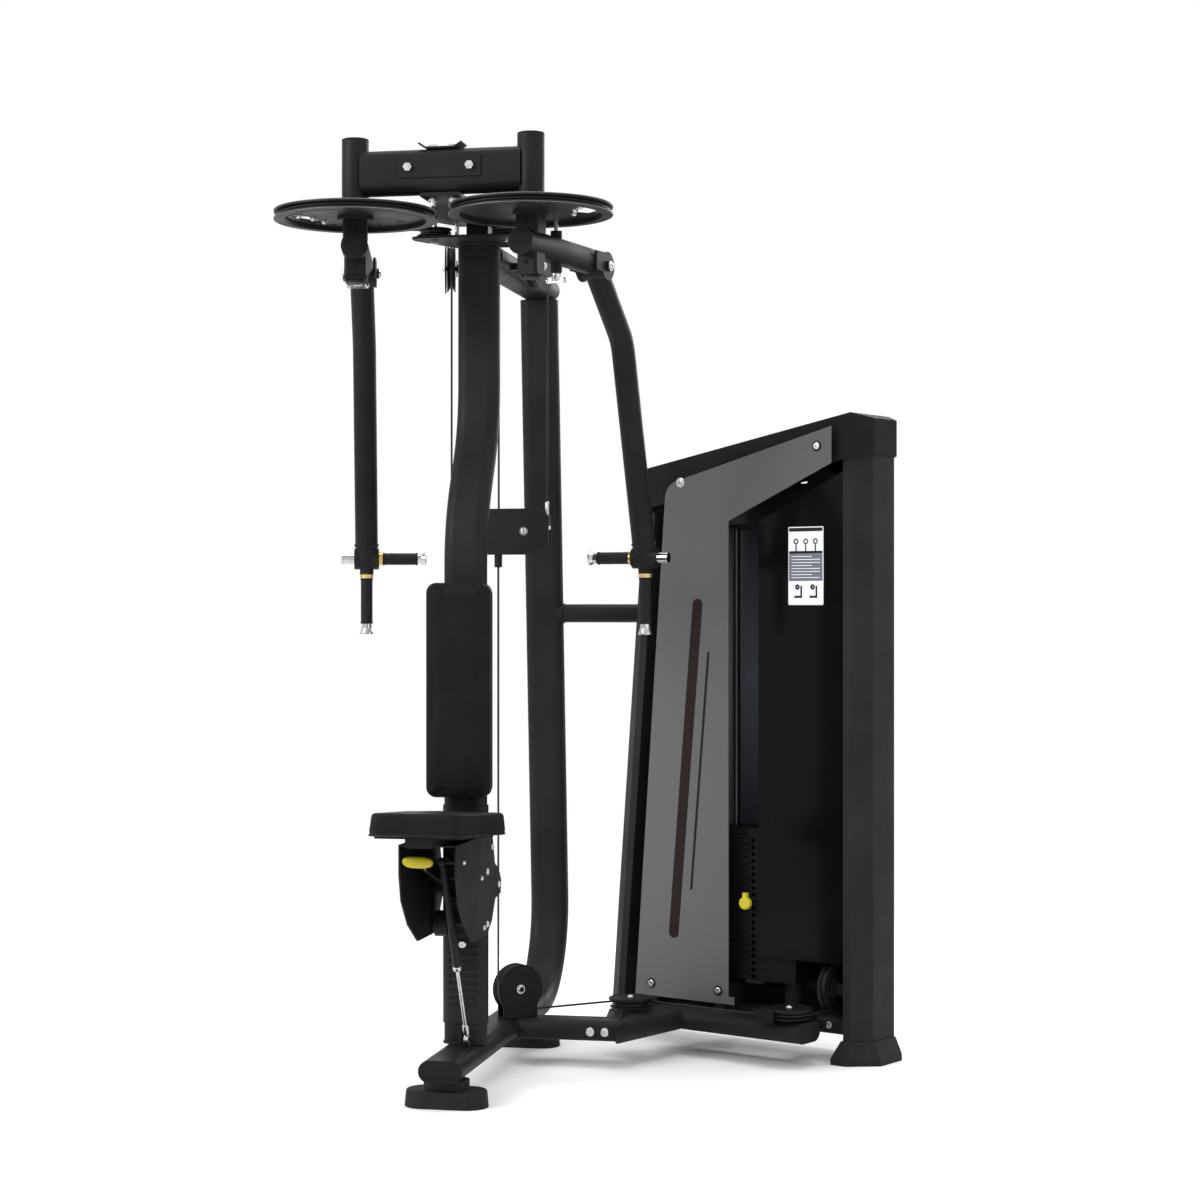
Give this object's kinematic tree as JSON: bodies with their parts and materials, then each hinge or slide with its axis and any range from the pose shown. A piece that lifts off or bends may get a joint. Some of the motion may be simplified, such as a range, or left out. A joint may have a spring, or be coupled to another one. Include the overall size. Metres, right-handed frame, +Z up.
{
  "type": "pec deck machine",
  "caption": "Pec deck machine: adjustable seat and back pad, overhead swinging arms on cams, and a cable-driven weight stack in a side tower.",
  "frame": {"origin": "middle of the machine's bounding box, on the floor", "axes": "+Z up; the user sits facing -Y; the weight stack tower stands at the +X side"},
  "size_m": [1.3712, 1.412, 2.148],
  "materials": {
    "frame_paint": "satin black powder coat",
    "panel_paint": "satin mid grey powder coat",
    "bolt_zinc": "bright zinc",
    "bush_brass": "plain",
    "cap_plastic": "moulded black",
    "foot_rubber": "black rubber",
    "shroud_black": "smoked, glossy",
    "shroud_rear": "smoked, glossy",
    "rod_chrome": "ground and plated",
    "pin_steel": "bright",
    "grip_chrome": "polished",
    "grip_rubber": "fine ribbed",
    "stack_iron": "black paint",
    "yellow_plastic": "yellow knob",
    "lever_yellow": "yellow",
    "pulley_plastic": "moulded nylon",
    "cable_coat": "coated wire rope",
    "vinyl": "black vinyl",
    "board": "plywood"
  },
  "bodies": {
    "root": {"base_beam": "frame_paint", "rear_column": "frame_paint", "front_column": "frame_paint", "rail_cover": "frame_paint", "top_link_tube": "frame_paint", "head_plates": "frame_paint", "crossbar": "frame_paint", "pivot_tubes": "frame_paint", "cross_tube": "frame_paint", "floor_beam": "frame_paint", "tower_uprights": "frame_paint", "tower_rails": "frame_paint", "pulley_brackets": "frame_paint", "side_panel": "panel_paint", "frame_bolts": "bolt_zinc", "pivot_bushes": "bush_brass", "end_caps": "cap_plastic", "tower_cap": "cap_plastic", "rubber_feet": "foot_rubber", "tower_feet": "foot_rubber", "stack_bumpers": "foot_rubber", "front_shroud": "shroud_black", "rear_shroud": "shroud_rear", "guide_rods": "rod_chrome", "resting_plates": "stack_iron", "guide_pulleys": "pulley_plastic", "fixed_cables": "cable_coat", "drop_cables": "cable_coat", "riser_cable": "cable_coat", "stack_cable": "cable_coat", "back_pad": "vinyl", "pad_board": "board"},
    "left_cam": {"left_cam": "frame_paint"},
    "right_cam": {"right_cam": "frame_paint"},
    "left_arm": {"left_arm": "frame_paint"},
    "right_arm": {"right_arm": "frame_paint"},
    "left_hanger": {"left_hanger": "frame_paint", "left_grips": "grip_rubber", "left_grip_ends": "grip_chrome"},
    "right_hanger": {"right_hanger": "frame_paint", "right_grips": "grip_rubber", "right_grip_ends": "grip_chrome"},
    "left_pop_pin": {"left_pop_pin": "pin_steel"},
    "right_pop_pin": {"right_pop_pin": "pin_steel"},
    "seat": {"seat_carriage": "frame_paint", "seat_cushion": "vinyl"},
    "seat_lever": {"seat_lever": "lever_yellow"},
    "gas_cylinder": {"gas_cylinder": "frame_paint"},
    "gas_rod": {"gas_rod": "rod_chrome"},
    "lifted_stack": {"lifted_plates": "stack_iron", "selector_stem": "rod_chrome"},
    "selector_pin": {"selector_pin": "yellow_plastic"},
    "cable_yoke": {"cable_yoke": "frame_paint"},
    "left_top_pulley": {"left_top_pulley": "pulley_plastic"},
    "right_top_pulley": {"right_top_pulley": "pulley_plastic"},
    "floor_pulley": {"floor_pulley": "pulley_plastic"},
    "inner_corner_pulley": {"inner_corner_pulley": "pulley_plastic"},
    "outer_corner_pulley": {"outer_corner_pulley": "pulley_plastic"},
    "tower_pulley": {"tower_pulley": "pulley_plastic"}
  },
  "joints": [
    {"name": "left_arm_swing", "type": "hinge", "parent": "root", "child": "left_cam", "pos_m": [-0.47192, -0.46157, 1.977], "axis": [0, 0, 1], "range_deg": [0, 150]},
    {"name": "right_arm_swing", "type": "hinge", "parent": "root", "child": "right_cam", "pos_m": [-0.07192, -0.46157, 1.977], "axis": [0, 0, 1], "range_deg": [-150, 0]},
    {"name": "left_arm_set", "type": "hinge", "parent": "left_cam", "child": "left_arm", "pos_m": [-0.47192, -0.46157, 1.905], "axis": [0, 0, 1], "range_deg": [-12, 24]},
    {"name": "right_arm_set", "type": "hinge", "parent": "right_cam", "child": "right_arm", "pos_m": [-0.07192, -0.46157, 1.905], "axis": [0, 0, 1], "range_deg": [-24, 12]},
    {"name": "left_hanger_tilt", "type": "hinge", "parent": "left_arm", "child": "left_hanger", "pos_m": [-0.55214, -0.14456, 1.896], "axis": [0.9694, 0.2453, 0], "range_deg": [0, 15]},
    {"name": "right_hanger_tilt", "type": "hinge", "parent": "right_arm", "child": "right_hanger", "pos_m": [0.0083, -0.14456, 1.896], "axis": [0.9694, -0.2453, 0], "range_deg": [0, 15]},
    {"name": "left_pop_pin_pull", "type": "slide", "parent": "left_arm", "child": "left_pop_pin", "axis": [0, 0, -1], "range_m": [0, 0.02], "stiffness_N_per_m": 500, "springref_m": -0.015},
    {"name": "right_pop_pin_pull", "type": "slide", "parent": "right_arm", "child": "right_pop_pin", "axis": [0, 0, -1], "range_m": [0, 0.02], "stiffness_N_per_m": 500, "springref_m": -0.015},
    {"name": "seat_slide", "type": "slide", "parent": "root", "child": "seat", "axis": [0, 0, 1], "range_m": [-0.12, 0.03]},
    {"name": "seat_lever_lift", "type": "hinge", "parent": "seat", "child": "seat_lever", "pos_m": [-0.27192, -0.36657, 0.5], "axis": [-1, 0, 0], "range_deg": [0, 5], "stiffness_Nm_per_rad": 12, "springref_deg": -8.59},
    {"name": "gas_cylinder_turn", "type": "hinge", "parent": "seat", "child": "gas_cylinder", "pos_m": [-0.25392, -0.52857, 0.552], "axis": [1, 0, 0], "range_deg": [-2.5, 8.5]},
    {"name": "gas_rod_slide", "type": "slide", "parent": "gas_cylinder", "child": "gas_rod", "axis": [0, 0.4556, -0.8902], "range_m": [-0.106, 0.028]},
    {"name": "stack_lift", "type": "slide", "parent": "root", "child": "lifted_stack", "axis": [0, 0, 1], "range_m": [0, 0.452], "deforming": ["stack_cable"]},
    {"name": "yoke_lift", "type": "slide", "parent": "root", "child": "cable_yoke", "axis": [0, 0, 1], "range_m": [0, 0.452], "deforming": ["drop_cables", "riser_cable"]},
    {"name": "selector_pin_pull", "type": "slide", "parent": "lifted_stack", "child": "selector_pin", "axis": [-0.4462, -0.8949, 0], "range_m": [0, 0.11]},
    {"name": "left_top_pulley_spin", "type": "hinge", "parent": "root", "child": "left_top_pulley", "pos_m": [-0.37892, 0.02843, 1.9265], "axis": [0.9711, 0.2388, 0], "range_deg": [0, 507]},
    {"name": "right_top_pulley_spin", "type": "hinge", "parent": "root", "child": "right_top_pulley", "pos_m": [-0.16492, 0.02843, 1.9265], "axis": [0.9711, -0.2388, 0], "range_deg": [0, 507]},
    {"name": "floor_pulley_spin", "type": "hinge", "parent": "root", "child": "floor_pulley", "pos_m": [-0.23192, 0.1032, 0.18], "axis": [-0.6561, 0.7547, 0], "range_deg": [0, 488]},
    {"name": "inner_corner_pulley_spin", "type": "hinge", "parent": "root", "child": "inner_corner_pulley", "pos_m": [0.01974, 0.26235, 0.127], "axis": [0, 0, 1], "range_deg": [0, 575]},
    {"name": "outer_corner_pulley_spin", "type": "hinge", "parent": "root", "child": "outer_corner_pulley", "pos_m": [0.42367, 0.17829, 0.127], "axis": [0, 0, -1], "range_deg": [0, 575]},
    {"name": "tower_pulley_spin", "type": "hinge", "parent": "root", "child": "tower_pulley", "pos_m": [0.52016, 0.27097, 0.178], "axis": [-0.8949, 0.4462, 0], "range_deg": [0, 507]}
  ],
  "couplings": [
    {"joint": "right_arm_swing", "follows": "left_arm_swing", "ratio": -1},
    {"joint": "stack_lift", "follows": "left_arm_swing", "m_per_rad": 0.172},
    {"joint": "yoke_lift", "follows": "left_arm_swing", "m_per_rad": 0.172},
    {"joint": "left_top_pulley_spin", "follows": "left_arm_swing", "ratio": 3.3725},
    {"joint": "right_top_pulley_spin", "follows": "left_arm_swing", "ratio": 3.3725},
    {"joint": "floor_pulley_spin", "follows": "left_arm_swing", "ratio": 3.2453},
    {"joint": "inner_corner_pulley_spin", "follows": "left_arm_swing", "ratio": 3.8222},
    {"joint": "outer_corner_pulley_spin", "follows": "left_arm_swing", "ratio": 3.8222},
    {"joint": "tower_pulley_spin", "follows": "left_arm_swing", "ratio": 3.3725},
    {"joint": "gas_cylinder_turn", "follows": "seat_slide", "rad_per_m": -1.15},
    {"joint": "gas_rod_slide", "follows": "seat_slide", "ratio": 0.87}
  ]
}
